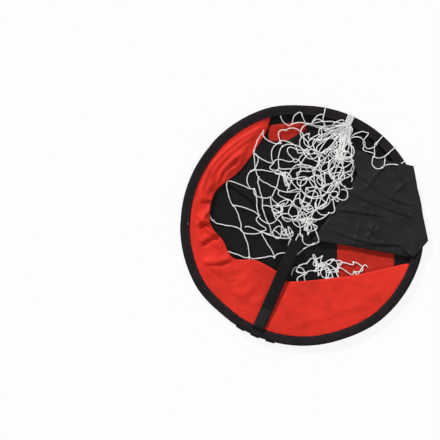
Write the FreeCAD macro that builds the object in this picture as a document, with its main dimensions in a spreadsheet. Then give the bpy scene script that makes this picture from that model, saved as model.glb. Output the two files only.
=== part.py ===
"""Golf chipping net, folded flat: a mouth hoop hinged on a base hoop, with cloth and netting between.

Millimetres. +Z is up, the floor is z = 0 and the origin is under the middle of the base hoop.
The hinge side of the two hoops is at -Y, and the side that lifts is at +Y.
"""
import FreeCAD, Part
import math
import os

from FreeCAD import Placement, Rotation, Vector

SIZES = {
    # the two hoops and the cloth binding round each
    "hoop_radius": 250.0,
    "binding_width": 20.0,
    "binding_height": 7.0,
    "binding_round": 2.8,
    "binding_slit": 1.4,
    "slit_depth": 9.0,
    "hoop_gap": 3.0,
    "wire_diameter": 3.0,
    "wire_play": 0.9,
    "wire_break": 2.0,
    "ferrule_wall": 0.6,
    "ferrule_fit": 0.05,
    "ferrule_length": 24.0,
    "ferrule_azimuth": 200.0,
    # cloth
    "cloth_thickness": 0.8,
    "soft_gap": 0.3,
    "seam_allowance": 4.0,
    # red patches on the base panel
    "patch_right_length": 119.0,
    "patch_right_width": 104.0,
    "patch_right_inset": 80.0,
    "patch_right_azimuth": -5.0,
    "patch_right_turn": 24.0,
    "patch_left_length": 80.0,
    "patch_left_width": 50.0,
    "patch_left_inset": 39.0,
    "patch_left_azimuth": 123.0,
    "patch_left_turn": 30.0,
    # red target panels, by azimuth and by depth inwards from the binding
    "target_left_start": 111.0,
    "target_right_end": 363.0,
    "target_seam_gap": 0.6,
    # side gussets, folded inwards
    "gusset_tie": 3.0,
    "gusset_to": 7.0,
    "gusset_depth": 177.0,
    "gusset_head_depth": 81.0,
    "gusset_foot_shift": 54.0,
    "gusset_head_shift": 3.0,
    # the netting
    "net_reach_left": 140.0,
    "net_reach_right": 96.0,
    "net_reach_front": 104.0,
    "net_neck": 44.0,
    "twine_diameter": 2.2,
    "tie_first": 32.0,
    "tie_step": 8.0,
    "tie_count": 6.0,
    "tie_far": 103.0,
    "lashing_turns": 5.0,
    "lashing_pitch": 2.8,
    # hinge tabs
    "tab_width": 20.0,
    "tab_thickness": 2.2,
    "tab_spacing": 34.0,
    "tab_split": 1.2,
    "tab_edge": 1.0,
    # centre strap
    "strap_width": 25.0,
    "strap_thickness": 1.5,
    "strap_length": 200.0,
    "strap_root": 16.0,
    "strap_end_round": 5.0,
    "anchor_edge": 2.0,
    "anchor_gap": 3.0,
    "pad_length": 40.0,
    "pad_margin": 2.0,
    "pad_thickness": 0.8,
    "pad_stitch_gap": 0.1,
}

# The free inner edge of each red panel: azimuth in degrees, depth inwards from the binding in mm
TARGET_LEFT_EDGE = [
    (129, 14), (139, 36), (148, 50), (161, 56), (180, 45), (196, 39),
    (205, 45), (214, 66), (226, 71), (241, 106), (255, 118), (269.5, 121),
]
TARGET_RIGHT_EDGE = [(270.5, 121), (282, 114), (301, 117), (321, 108), (345, 71)]

doc = FreeCAD.newDocument("chipping_net")
sheet = doc.addObject("Spreadsheet::Sheet", "sizes")
for row, (alias, value) in enumerate(SIZES.items(), start=1):
    sheet.set(f"A{row}", alias)
    sheet.set(f"B{row}", str(value))
    sheet.setAlias(f"B{row}", alias)
doc.recompute()


def size(alias):
    """A driving dimension, read from the sheet."""
    return float(getattr(sheet, alias))


def named(words):
    """Expression text in which each sheet alias is written as sizes.alias."""
    out = []
    for word in words.split():
        out.append(f"<<sizes>>.{word}" if word in SIZES else word)
    return " ".join(out)


sheet.Label = "sizes"

# Levels, from the floor up, as expressions and as numbers
MOUTH_LEVEL = "binding_height + hoop_gap"
PANEL_LEVEL = "( binding_height - cloth_thickness ) / 2"
MOUTH_TOP = "2 * binding_height + hoop_gap"


def panel_level():
    return (size("binding_height") - size("cloth_thickness")) / 2


def layer(count):
    """The underside of the cloth that lies count layers above the base panel."""
    return panel_level() + count * (size("cloth_thickness") + size("soft_gap"))


def mouth_level():
    return size("binding_height") + size("hoop_gap")


def target_level():
    return mouth_level() + panel_level()


def inner_radius():
    """The binding's inner edge."""
    return size("hoop_radius") - size("binding_width")


def polar(radius, azimuth, level=0.0):
    angle = math.radians(azimuth)
    return Vector(radius * math.cos(angle), radius * math.sin(angle), level)


# ---------------------------------------------------------------- helpers


def origin_plane(body, role):
    for feature in body.Origin.OriginFeatures:
        if feature.Role == role:
            return feature
    raise ValueError(role)


def new_body(label):
    body = doc.addObject("PartDesign::Body", label)
    body.Label = label
    return body


def new_sketch(body, name, role):
    sketch = body.newObject("Sketcher::SketchObject", name)
    sketch.AttachmentSupport = [(origin_plane(body, role), "")]
    sketch.MapMode = "FlatFace"
    return sketch


def rectangle(sketch, left, right, low, high):
    """A rectangle whose four sides stand at the given expressions, from the sketch's origin."""
    from Sketcher import Constraint

    corners = [Vector(1, 1, 0), Vector(2, 1, 0), Vector(2, 2, 0), Vector(1, 2, 0)]
    for index in range(4):
        sketch.addGeometry(Part.LineSegment(corners[index], corners[(index + 1) % 4]), False)
    for index in range(4):
        sketch.addConstraint(Constraint("Coincident", index, 2, (index + 1) % 4, 1))
    for index in (0, 2):
        sketch.addConstraint(Constraint("Horizontal", index))
    for index in (1, 3):
        sketch.addConstraint(Constraint("Vertical", index))
    places = [
        ("left", "DistanceX", 0, left), ("low", "DistanceY", 0, low),
        ("right", "DistanceX", 2, right), ("high", "DistanceY", 2, high),
    ]
    for name, kind, line, place in places:
        number = sketch.addConstraint(Constraint(kind, -1, 1, line, 1, 1.0))
        sketch.renameConstraint(number, name)
        sketch.setExpression(f"Constraints.{name}", named(place))


def circle(sketch, across, up, radius):
    """A circle at (across, up) of the given radius, all expressions."""
    from Sketcher import Constraint

    sketch.addGeometry(Part.Circle(Vector(10, 5, 0), Vector(0, 0, 1), 1), False)
    places = [
        ("across", Constraint("DistanceX", -1, 1, 0, 3, 10.0), across),
        ("up", Constraint("DistanceY", -1, 1, 0, 3, 5.0), up),
        ("radius", Constraint("Radius", 0, 1.0), radius),
    ]
    for name, constraint, place in places:
        number = sketch.addConstraint(constraint)
        sketch.renameConstraint(number, name)
        sketch.setExpression(f"Constraints.{name}", named(place))


def turned(body, kind, name, sketch, angle="360"):
    """A Revolution or Groove of the sketch about the body's Z axis."""
    feature = body.newObject(f"PartDesign::{kind}", name)
    feature.Profile = sketch
    feature.ReferenceAxis = (origin_plane(body, "Z_Axis"), [""])
    feature.setExpression("Angle", named(angle))
    feature.Midplane = True
    sketch.Visibility = False
    return feature


def lift(body, level):
    body.setExpression("Placement.Base.z", named(level))


def cloth_solid(label, edges, level):
    """A flat piece of cloth, from the edges of its closed outline."""
    face = Part.Face(Part.Wire(edges))
    return feature_from(label, face.extrude(Vector(0, 0, size("cloth_thickness"))), level)


def feature_from(label, shape, level):
    item = doc.addObject("Part::Feature", label)
    item.Shape = shape
    item.Placement = Placement(Vector(0, 0, level), Rotation())
    item.Label = label
    return item


def polyline(points):
    return [Part.LineSegment(a, b).toShape() for a, b in zip(points, points[1:])]


def rim_arc(radius, start, end):
    """An arc about the origin from azimuth start to azimuth end."""
    middle = (start + end) / 2
    return Part.Arc(polar(radius, start), polar(radius, middle), polar(radius, end)).toShape()


# ---------------------------------------------------------------- hoops


def hoop_binding(label, level):
    """Folded tape round the hoop wire: closed outside, with a slit inside that takes the cloth's edge."""
    body = new_body(label)
    section = new_sketch(body, f"{label}_section", "XZ_Plane")
    rectangle(section, "hoop_radius - binding_width", "hoop_radius", "0", "binding_height")
    ring = turned(body, "Revolution", f"{label}_ring", section)
    doc.recompute()
    circles = []
    for number, edge in enumerate(ring.Shape.Edges, start=1):
        if isinstance(edge.Curve, Part.Circle):
            circles.append(f"Edge{number}")
    rounded = body.newObject("PartDesign::Fillet", f"{label}_rounding")
    rounded.Base = (ring, circles)
    rounded.setExpression("Radius", named("binding_round"))
    doc.recompute()
    whole = body.Shape.Volume
    channel = new_sketch(body, f"{label}_channel", "XZ_Plane")
    circle(
        channel, "hoop_radius - binding_width / 2", "binding_height / 2",
        "wire_diameter / 2 + wire_play",
    )
    turned(body, "Groove", f"{label}_channel_cut", channel)
    doc.recompute()
    channelled = body.Shape.Volume
    slit = new_sketch(body, f"{label}_slit", "XZ_Plane")
    rectangle(
        slit, "hoop_radius - binding_width - 1", "hoop_radius - binding_width + slit_depth",
        "( binding_height - binding_slit ) / 2", "( binding_height + binding_slit ) / 2",
    )
    turned(body, "Groove", f"{label}_slit_cut", slit)
    lift(body, level)
    doc.recompute()
    if not body.Shape.Volume < channelled < whole:
        raise ValueError(f"{label}: the channel or the slit cut nothing")
    return body


def hoop_wire(label, level):
    """Round spring steel wire bent into a ring that is open at its ferrule."""
    body = new_body(label)
    section = new_sketch(body, f"{label}_section", "XZ_Plane")
    circle(section, "hoop_radius - binding_width / 2", "binding_height / 2", "wire_diameter / 2")
    turn = "360 - wire_break / ( hoop_radius - binding_width / 2 ) * 180 / pi"
    turned(body, "Revolution", f"{label}_ring", section, turn)
    body.Placement = Placement(Vector(), Rotation(Vector(0, 0, 1), size("ferrule_azimuth") - 180))
    lift(body, level)
    return body


def hoop_ferrule(label, level):
    """Crimped sleeve that joins the wire's two ends."""
    body = new_body(label)
    outer = new_sketch(body, f"{label}_outer", "XZ_Plane")
    circle(
        outer, "hoop_radius - binding_width / 2", "binding_height / 2",
        "wire_diameter / 2 + ferrule_fit + ferrule_wall",
    )
    turn = "ferrule_length / ( hoop_radius - binding_width / 2 ) * 180 / pi"
    turned(body, "Revolution", f"{label}_sleeve", outer, turn)
    doc.recompute()
    whole = body.Shape.Volume
    inner = new_sketch(body, f"{label}_inner", "XZ_Plane")
    circle(
        inner, "hoop_radius - binding_width / 2", "binding_height / 2",
        "wire_diameter / 2 + ferrule_fit",
    )
    turned(body, "Groove", f"{label}_hole", inner)
    body.Placement = Placement(Vector(), Rotation(Vector(0, 0, 1), size("ferrule_azimuth")))
    lift(body, level)
    doc.recompute()
    if not body.Shape.Volume < whole:
        raise ValueError(f"{label}: the hole cut nothing")
    return body


def hoops():
    made = []
    for which, level in (("base", "0"), ("mouth", MOUTH_LEVEL)):
        made.append(hoop_wire(f"{which}_hoop_wire", level))
        made.append(hoop_ferrule(f"{which}_hoop_ferrule", level))
        made.append(hoop_binding(f"{which}_hoop_binding", level))
    return made


# ---------------------------------------------------------------- base cloth


def base_panel():
    """Round black floor cloth, its edge held in the base binding's slit."""
    body = new_body("base_panel")
    outline = new_sketch(body, "base_panel_outline", "XY_Plane")
    circle(outline, "0", "0", "hoop_radius - binding_width + seam_allowance")
    pad = body.newObject("PartDesign::Pad", "base_panel_pad")
    pad.Profile = outline
    pad.setExpression("Length", named("cloth_thickness"))
    lift(body, PANEL_LEVEL)
    return body


def base_patch(side):
    """Red rectangle sewn flat on the base panel."""
    patch = doc.addObject("Part::Box", f"base_patch_{side}")
    patch.Label = f"base_patch_{side}"
    length = size(f"patch_{side}_length")
    width = size(f"patch_{side}_width")
    patch.setExpression("Length", named(f"patch_{side}_length"))
    patch.setExpression("Width", named(f"patch_{side}_width"))
    patch.setExpression("Height", named("cloth_thickness"))
    turn = Rotation(Vector(0, 0, 1), size(f"patch_{side}_turn"))
    radius = inner_radius() - size(f"patch_{side}_inset")
    centre = polar(radius, size(f"patch_{side}_azimuth"), layer(1))
    corner = turn.multVec(Vector(length / 2, width / 2, 0))
    patch.Placement = Placement(centre - corner, turn)
    return patch


# ---------------------------------------------------------------- target panels


def target_panel(label, start, end, edge):
    """Red crescent: its outer edge is held in the mouth binding's slit, its inner edge is free."""
    outer = inner_radius() + size("seam_allowance")
    free = [polar(inner_radius() - depth, azimuth) for azimuth, depth in edge]
    first = polar(outer, start)
    last = polar(outer, end)
    outline = polyline([first] + free + [last])
    outline.append(rim_arc(outer, end, start))
    return cloth_solid(label, outline, target_level())


def target_panels():
    """The two crescents meet under the centre strap."""
    seam = math.degrees(size("target_seam_gap") / 2 / inner_radius())
    return [
        target_panel("target_panel_left", size("target_left_start"), 270 - seam, TARGET_LEFT_EDGE),
        target_panel("target_panel_right", 270 + seam, size("target_right_end"), TARGET_RIGHT_EDGE),
    ]


# ---------------------------------------------------------------- side gussets


def tie_azimuth(number):
    return size("tie_first") + number * size("tie_step")


def within_ties():
    """The radius that lies just inside the twine turns round the mouth binding."""
    return inner_radius() - size("twine_diameter") - 2 * size("soft_gap")


def gusset_outline(side):
    """An arc along the hoop, from a tie down to the leaf's foot, and the fold that points inwards."""
    rim = within_ties()
    start = tie_azimuth(size("gusset_tie"))
    end = size("gusset_to")
    upper = polar(rim, start)
    lower = polar(rim, end)
    along = (upper - lower).normalize()
    inwards = Vector(-along.y, along.x, 0)
    head = upper + along * size("gusset_head_shift") + inwards * size("gusset_head_depth")
    foot = lower + along * size("gusset_foot_shift") + inwards * size("gusset_depth")
    corners = [upper, head, foot, lower]
    if side == "left":
        corners = [Vector(-corner.x, corner.y, 0) for corner in corners]
        start, end = 180 - start, 180 - end
    return polyline(corners) + [rim_arc(rim, end, start)]


def gusset_leaf(side, which, level):
    return cloth_solid(f"gusset_{side}_{which}", gusset_outline(side), level)


def over_net_level():
    """The right gusset's lower leaf lies on the netting, one layer under its upper leaf."""
    return target_level() - size("cloth_thickness") - size("soft_gap")


def gussets():
    """Each side wall is a lower and an upper leaf: the left pair lies under the netting, the right pair over it."""
    return [
        gusset_leaf("left", "lower", layer(2)),
        gusset_leaf("left", "upper", layer(3)),
        gusset_leaf("right", "lower", over_net_level()),
        gusset_leaf("right", "upper", target_level()),
    ]


# ---------------------------------------------------------------- netting


def catch_net():
    """The folded catch net as one low heap, from its neck at the mouth hoop to its loose front.

    It fills the height between the left gusset and the right one.
    """
    top = within_ties() - 1
    left = -size("net_reach_left")
    right = size("net_reach_right")
    front = -size("net_reach_front")
    neck = size("net_neck") / 2
    shoulder = top / 2
    points = [
        Vector(-neck, top * math.cos(neck / top), 0), Vector(left * 0.8, shoulder, 0),
        Vector(left, 0, 0), Vector(left * 0.65, front * 0.85, 0), Vector(0, front, 0),
        Vector(right, front * 0.6, 0), Vector(right * 0.6, 0, 0), Vector(right * 0.65, shoulder, 0),
        Vector(neck, top * math.cos(neck / top), 0),
    ]
    curve = Part.BSplineCurve()
    curve.interpolate(Points=points)
    edges = [curve.toShape(), Part.LineSegment(points[-1], points[0]).toShape()]
    height = over_net_level() - size("soft_gap") - layer(4)
    heap = Part.Face(Part.Wire(edges)).extrude(Vector(0, 0, height))
    return feature_from("catch_net", heap, layer(4))


def twine_loop(azimuth):
    """One closed turn of twine round the mouth binding, square to it."""
    twine = size("twine_diameter") / 2
    off = size("soft_gap") + twine
    half_across = size("binding_width") / 2 + off
    half_up = size("binding_height") / 2 + off
    bend = size("binding_round") + off
    straight = half_across - bend
    rise = half_up - bend
    root = bend * math.sqrt(0.5)
    corners = ((1, 1), (-1, 1), (-1, -1), (1, -1))
    edges = []
    for index, (across, up) in enumerate(corners):
        swap = index % 2
        side = Vector(across * half_across, 0, up * rise)
        crown = Vector(across * straight, 0, up * half_up)
        middle = Vector(across * (straight + root), 0, up * (rise + root))
        ends = (crown, side) if swap else (side, crown)
        if edges:
            edges.append(Part.LineSegment(edges[-1].lastVertex().Point, ends[0]).toShape())
        edges.append(Part.Arc(ends[0], middle, ends[1]).toShape())
    edges.append(Part.LineSegment(edges[-1].lastVertex().Point, edges[0].firstVertex().Point).toShape())
    path = Part.Wire(edges)
    start = edges[0].firstVertex().Point
    section = Part.Wire(Part.Circle(start, Vector(0, 0, 1), twine).toShape())
    pipe = Part.BRepOffsetAPI.MakePipeShell(path)
    pipe.add(section)
    pipe.build()
    pipe.makeSolid()
    loop = pipe.shape()
    middle_radius = size("hoop_radius") - size("binding_width") / 2
    middle_height = mouth_level() + size("binding_height") / 2
    loop.Placement = Placement(
        polar(middle_radius, azimuth, middle_height), Rotation(Vector(0, 0, 1), azimuth)
    )
    return loop


def net_ties():
    azimuths = [tie_azimuth(number) for number in range(int(size("tie_count")))]
    loops = [twine_loop(azimuth) for azimuth in azimuths + [size("tie_far")]]
    return feature_from("net_ties", Part.makeCompound(loops), 0.0)


def net_head_lashing():
    """Turns of twine side by side that gather the net's neck on the mouth hoop."""
    pitch = math.degrees(size("lashing_pitch") / inner_radius())
    turns = int(size("lashing_turns"))
    loops = [twine_loop(90 + (index - (turns - 1) / 2) * pitch) for index in range(turns)]
    return feature_from("net_head_lashing", Part.makeCompound(loops), 0.0)


# ---------------------------------------------------------------- hinge tabs


def hinge_tab(name, turn, half, low, high):
    """Half of a webbing tab that stands against the outside of the two bindings."""
    label = f"hinge_tab_{name}_{half}"
    body = new_body(label)
    section = new_sketch(body, f"{label}_section", "XZ_Plane")
    rectangle(
        section, "hoop_radius + soft_gap", "hoop_radius + soft_gap + tab_thickness", low, high
    )
    turned(body, "Revolution", f"{label}_strip", section, "tab_width / hoop_radius * 180 / pi")
    angle = 270 + turn * math.degrees(size("tab_spacing") / size("hoop_radius"))
    body.Placement = Placement(Vector(), Rotation(Vector(0, 0, 1), angle))
    return body


def hinge_tabs():
    middle = "binding_height + hoop_gap / 2"
    made = []
    for name, turn in (("left", -1), ("centre", 0), ("right", 1)):
        made.append(hinge_tab(name, turn, "lower", "tab_edge", f"{middle} - tab_split"))
        made.append(hinge_tab(name, turn, "upper", f"{middle} + tab_split", f"{MOUTH_TOP} - tab_edge"))
    return made


# ---------------------------------------------------------------- centre strap


def flat_box(label, length, start, level, width, thickness):
    """A strip centred on x = 0 that runs in +Y from start."""
    strip = doc.addObject("Part::Box", label)
    strip.Label = label
    strip.setExpression("Length", named(width))
    strip.setExpression("Width", named(length))
    strip.setExpression("Height", named(thickness))
    strip.setExpression("Placement.Base.x", named(f"- ( {width} ) / 2"))
    strip.setExpression("Placement.Base.y", named(start))
    strip.setExpression("Placement.Base.z", named(level))
    return strip


def strap_parts():
    """Webbing sewn to the mouth hoop at -Y: a fixed end, and a free length that flips over."""
    level = f"{MOUTH_TOP} + soft_gap"
    root = "strap_root - hoop_radius"
    anchor = flat_box(
        "strap_anchor", "strap_root - anchor_gap - anchor_edge",
        "anchor_edge - hoop_radius", level, "strap_width", "strap_thickness",
    )
    body = new_body("centre_strap")
    outline = new_sketch(body, "centre_strap_outline", "XY_Plane")
    rectangle(outline, "- strap_width / 2", "strap_width / 2", root, f"{root} + strap_length")
    pad = body.newObject("PartDesign::Pad", "centre_strap_pad")
    pad.Profile = outline
    pad.setExpression("Length", named("strap_thickness"))
    doc.recompute()
    end = []
    for number, edge in enumerate(pad.Shape.Edges, start=1):
        box = edge.BoundBox
        if box.ZLength > 0.1 and box.YMin > pad.Shape.BoundBox.YMax - 0.1:
            end.append(f"Edge{number}")
    rounding = body.newObject("PartDesign::Fillet", "centre_strap_rounding")
    rounding.Base = (pad, end)
    rounding.setExpression("Radius", named("strap_end_round"))
    lift(body, level)
    pad_width = "strap_width - 2 * pad_margin"
    hook = flat_box(
        "strap_hook_pad", "pad_length",
        f"{root} + strap_length - pad_length - strap_end_round",
        f"{level} - pad_stitch_gap - pad_thickness", pad_width, "pad_thickness",
    )
    loop = flat_box(
        "strap_loop_pad", "pad_length", f"{root} + strap_end_round",
        f"{level} + strap_thickness + pad_stitch_gap", pad_width, "pad_thickness",
    )
    return [anchor, body, hook, loop]


# ---------------------------------------------------------------- build, check and write


def build():
    nodes = hoops()
    nodes.append(base_panel())
    nodes += [base_patch("left"), base_patch("right")]
    nodes += target_panels()
    nodes += gussets()
    nodes += [catch_net(), net_ties(), net_head_lashing()]
    nodes += hinge_tabs()
    nodes += strap_parts()
    return nodes


def check(nodes):
    for item in doc.Objects:
        if "Invalid" in item.State or "Error" in item.State:
            raise ValueError(f"{item.Label}: {item.State}")
    for node in nodes:
        if node.Shape.isNull() or not node.Shape.isValid() or not node.Shape.Solids:
            raise ValueError(f"{node.Label}: no valid solid")


def write(nodes):
    os.makedirs("parts", exist_ok=True)
    for node in nodes:
        node.Shape.exportStep(f"parts/{node.Label}.step")
        print(f"{node.Label}: {len(node.Shape.Solids)} solid(s), {node.Shape.Volume:.0f} mm3")


all_nodes = build()
doc.recompute()
check(all_nodes)
write(all_nodes)
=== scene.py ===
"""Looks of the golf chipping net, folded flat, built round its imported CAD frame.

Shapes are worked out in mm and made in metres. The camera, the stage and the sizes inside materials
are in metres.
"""
import math
import random

import bmesh
import bpy
import numpy as np
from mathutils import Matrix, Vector, noise
from mathutils.geometry import delaunay_2d_cdt

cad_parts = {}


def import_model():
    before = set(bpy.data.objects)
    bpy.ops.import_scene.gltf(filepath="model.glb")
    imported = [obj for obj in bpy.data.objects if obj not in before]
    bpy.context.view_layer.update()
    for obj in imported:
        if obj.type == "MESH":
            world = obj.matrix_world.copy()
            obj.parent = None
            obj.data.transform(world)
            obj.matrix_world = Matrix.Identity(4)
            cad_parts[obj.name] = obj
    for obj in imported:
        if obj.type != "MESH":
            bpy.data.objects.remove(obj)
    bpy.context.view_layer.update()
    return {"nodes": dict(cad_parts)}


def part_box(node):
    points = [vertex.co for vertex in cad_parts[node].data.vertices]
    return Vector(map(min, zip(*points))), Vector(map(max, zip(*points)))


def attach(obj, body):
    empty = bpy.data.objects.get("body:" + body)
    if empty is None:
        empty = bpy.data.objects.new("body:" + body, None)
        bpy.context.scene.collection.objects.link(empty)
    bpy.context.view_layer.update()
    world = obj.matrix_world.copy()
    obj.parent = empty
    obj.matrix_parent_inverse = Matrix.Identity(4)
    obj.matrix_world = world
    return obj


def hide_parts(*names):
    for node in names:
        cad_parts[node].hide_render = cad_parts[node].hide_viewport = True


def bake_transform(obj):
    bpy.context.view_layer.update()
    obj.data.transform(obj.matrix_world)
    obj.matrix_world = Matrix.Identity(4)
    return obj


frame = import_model()
scene = bpy.context.scene
MM = 0.001
TAU = 2 * math.pi

# Binding: outer and inner radius, half its height, and the height of the middle of each hoop.
HOOP_OUT = 250.0
HOOP_IN = 230.0
BINDING_HALF = 3.5
BASE_MID = BINDING_HALF
MOUTH_MID = 13.5
# The seam that holds the cloths in the binding, and the radius inside which the target cloths are free.
CLOTH_SEAM = 233.5
CLOTH_FREE = 233


# ---------------------------------------------------------------- camera, light, stage
def camera():
    data = bpy.data.cameras.new("camera")
    data.lens = 86.7
    data.sensor_width = 36.0
    data.clip_start = 0.05
    obj = bpy.data.objects.new("camera", data)
    obj.location = (-0.1629, -0.0583, 2.215)
    obj.rotation_euler = (0, 0, math.radians(23.6))
    scene.collection.objects.link(obj)
    scene.camera = obj


def sun(name, direction, strength, angle):
    data = bpy.data.lights.new(name, "SUN")
    data.energy = strength
    data.angle = math.radians(angle)
    obj = bpy.data.objects.new(name, data)
    obj.rotation_euler = Vector(direction).to_track_quat("Z", "Y").to_euler()
    scene.collection.objects.link(obj)


def seen_factor(nodes, links):
    """1 for camera, mirror and glass rays, 0 for the rays that light things."""
    path = nodes.new("ShaderNodeLightPath")
    first = nodes.new("ShaderNodeMath")
    first.operation = "MAXIMUM"
    second = nodes.new("ShaderNodeMath")
    second.operation = "MAXIMUM"
    links.new(path.outputs["Is Camera Ray"], first.inputs[0])
    links.new(path.outputs["Is Glossy Ray"], first.inputs[1])
    links.new(first.outputs[0], second.inputs[0])
    links.new(path.outputs["Is Transmission Ray"], second.inputs[1])
    return second.outputs[0]


def mixed(nodes, links, factor, plain, seen, out):
    """Feeds an output with plain where factor is 0 and with seen where it is 1."""
    mix = nodes.new("ShaderNodeMixShader")
    links.new(factor, mix.inputs[0])
    links.new(plain.outputs[0], mix.inputs[1])
    links.new(seen.outputs[0], mix.inputs[2])
    links.new(mix.outputs[0], out.inputs[0])


def white(nodes, kind, strength):
    node = nodes.new(kind)
    node.inputs["Color"].default_value = (1, 1, 1, 1)
    node.inputs["Strength"].default_value = strength
    return node


def world():
    """White to camera, mirror and glass rays, and a soft even light for everything else."""
    sky = bpy.data.worlds.new("studio")
    scene.world = sky
    sky.use_nodes = True
    nodes, links = sky.node_tree.nodes, sky.node_tree.links
    nodes.clear()
    out = nodes.new("ShaderNodeOutputWorld")
    soft = white(nodes, "ShaderNodeBackground", 0.24)
    bright = white(nodes, "ShaderNodeBackground", 1.0)
    mixed(nodes, links, seen_factor(nodes, links), soft, bright, out)


def floor():
    """A pale ground just below the net, that shows almost white to the camera and takes a faint shadow."""
    tiles, half, level = 24, 3.0, -0.0006
    step = 2 * half / tiles
    row = tiles + 1
    verts = [(-half + i * step, -half + j * step, level) for i in range(row) for j in range(row)]
    faces = [(i * row + j, (i + 1) * row + j, (i + 1) * row + j + 1, i * row + j + 1)
             for i in range(tiles) for j in range(tiles)]
    mesh = bpy.data.meshes.new("studio_floor")
    mesh.from_pydata(verts, [], faces)
    obj = bpy.data.objects.new("studio_floor", mesh)
    scene.collection.objects.link(obj)
    material = bpy.data.materials.new("studio_floor")
    material.use_nodes = True
    nodes, links = material.node_tree.nodes, material.node_tree.links
    nodes.clear()
    out = nodes.new("ShaderNodeOutputMaterial")
    plain = nodes.new("ShaderNodeBsdfDiffuse")
    plain.inputs["Color"].default_value = (0.9, 0.9, 0.9, 1)
    share = nodes.new("ShaderNodeMath")
    share.operation = "MULTIPLY"
    share.inputs[1].default_value = 0.9
    links.new(seen_factor(nodes, links), share.inputs[0])
    mixed(nodes, links, share.outputs[0], plain, white(nodes, "ShaderNodeEmission", 1.0), out)
    mesh.materials.append(material)


camera()
world()
floor()
sun("key", (-0.72, 0.50, 0.60), 3.0, 7)
sun("fill", (0.7, -0.3, 1.0), 0.55, 40)
scene.view_settings.view_transform = "Standard"


# ---------------------------------------------------------------- materials
class Graph:
    """A small helper that builds one Principled material from procedural textures."""

    def __init__(self, name, coordinates="UV"):
        self.material = bpy.data.materials.new(name)
        self.material.use_nodes = True
        self.nodes = self.material.node_tree.nodes
        self.links = self.material.node_tree.links
        self.shader = self.nodes["Principled BSDF"]
        self.coordinates = self.nodes.new("ShaderNodeTexCoord").outputs[coordinates]
        self.normal = None

    def set(self, **values):
        for key, value in values.items():
            self.shader.inputs[key.replace("_", " ")].default_value = value

    def noise(self, scale, detail=3.0, rough=0.55, distortion=0.0, stretch=None):
        node = self.nodes.new("ShaderNodeTexNoise")
        node.inputs["Scale"].default_value = scale
        node.inputs["Detail"].default_value = detail
        node.inputs["Roughness"].default_value = rough
        node.inputs["Distortion"].default_value = distortion
        self.links.new(self.mapped(stretch), node.inputs["Vector"])
        return node.outputs["Fac"]

    def mapped(self, stretch=None, turn=0.0):
        if stretch is None and not turn:
            return self.coordinates
        node = self.nodes.new("ShaderNodeMapping")
        if stretch:
            node.inputs["Scale"].default_value = stretch
        node.inputs["Rotation"].default_value = (0, 0, turn)
        self.links.new(self.coordinates, node.inputs["Vector"])
        return node.outputs["Vector"]

    def wave(self, period, axis="X", turn=0.0, distortion=0.0):
        node = self.nodes.new("ShaderNodeTexWave")
        node.bands_direction = axis
        node.inputs["Scale"].default_value = TAU / (20 * period)
        node.inputs["Distortion"].default_value = distortion
        self.links.new(self.mapped(None, turn), node.inputs["Vector"])
        return node.outputs["Fac"]

    def maths(self, operation, a, b):
        node = self.nodes.new("ShaderNodeMath")
        node.operation = operation
        for socket, value in zip(node.inputs, (a, b)):
            if isinstance(value, (int, float)):
                socket.default_value = value
            else:
                self.links.new(value, socket)
        return node.outputs[0]

    def bump(self, height, distance, strength):
        node = self.nodes.new("ShaderNodeBump")
        node.inputs["Distance"].default_value = distance
        node.inputs["Strength"].default_value = strength
        self.links.new(height, node.inputs["Height"])
        if self.normal is not None:
            self.links.new(self.normal, node.inputs["Normal"])
        self.normal = node.outputs["Normal"]

    def ramp(self, factor, stops):
        node = self.nodes.new("ShaderNodeValToRGB")
        elements = node.color_ramp.elements
        while len(elements) < len(stops):
            elements.new(0.5)
        for element, (at, colour) in zip(elements, stops):
            element.position = at
            element.color = (*colour, 1)
        self.links.new(factor, node.inputs["Fac"])
        return node.outputs["Color"]

    def colour(self, socket):
        self.links.new(socket, self.shader.inputs["Base Color"])

    def done(self):
        if self.normal is not None:
            self.links.new(self.normal, self.shader.inputs["Normal"])
        return self.material


def times(colour, k):
    return tuple(min(1.0, c * k) for c in colour)


def fabric(name, colour, rough, thread, crinkle, sheen, dark, light):
    """Thin woven nylon, crinkled, and patchy from dark to light times its colour."""
    g = Graph(name)
    g.set(Roughness=rough, Sheen_Weight=sheen, Sheen_Roughness=0.45, Specular_IOR_Level=0.12)
    patchy = g.noise(16.0, 4.0, 0.6, 0.6)
    g.colour(g.ramp(patchy, [(0.30, times(colour, dark)), (0.52, colour), (0.74, times(colour, light))]))
    g.bump(g.noise(210, 5.0, 0.62, 0.8), 0.0011, crinkle)
    g.bump(g.noise(60, 3.0, 0.5, 1.6), 0.0022, crinkle * 0.6)
    weave = g.maths("ADD", g.wave(thread, "X"), g.wave(thread, "Y"))
    g.bump(weave, 0.00012, 0.35)
    return g.done()


RED = fabric("red_nylon", (0.74, 0.030, 0.017), 0.55, 0.0007, 0.42, 0.03, 0.74, 1.08)
RED_FLOOR = fabric("red_patch_nylon", (0.50, 0.022, 0.012), 0.60, 0.0007, 0.45, 0.03, 0.72, 1.15)
BLACK = fabric("black_nylon", (0.0125, 0.0125, 0.0135), 0.50, 0.0006, 0.42, 0.012, 0.8, 1.2)
# A darker copy of the black nylon for the base cloth and the left gusset leaves: painted shade for cloth
# lying low under the netting and the cloths above.
BLACK_PAINTED_SHADE = fabric("black_nylon_painted_shade", (0.0035, 0.0034, 0.0040), 0.66, 0.0006, 0.35, 0.004, 0.7, 1.35)


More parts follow.
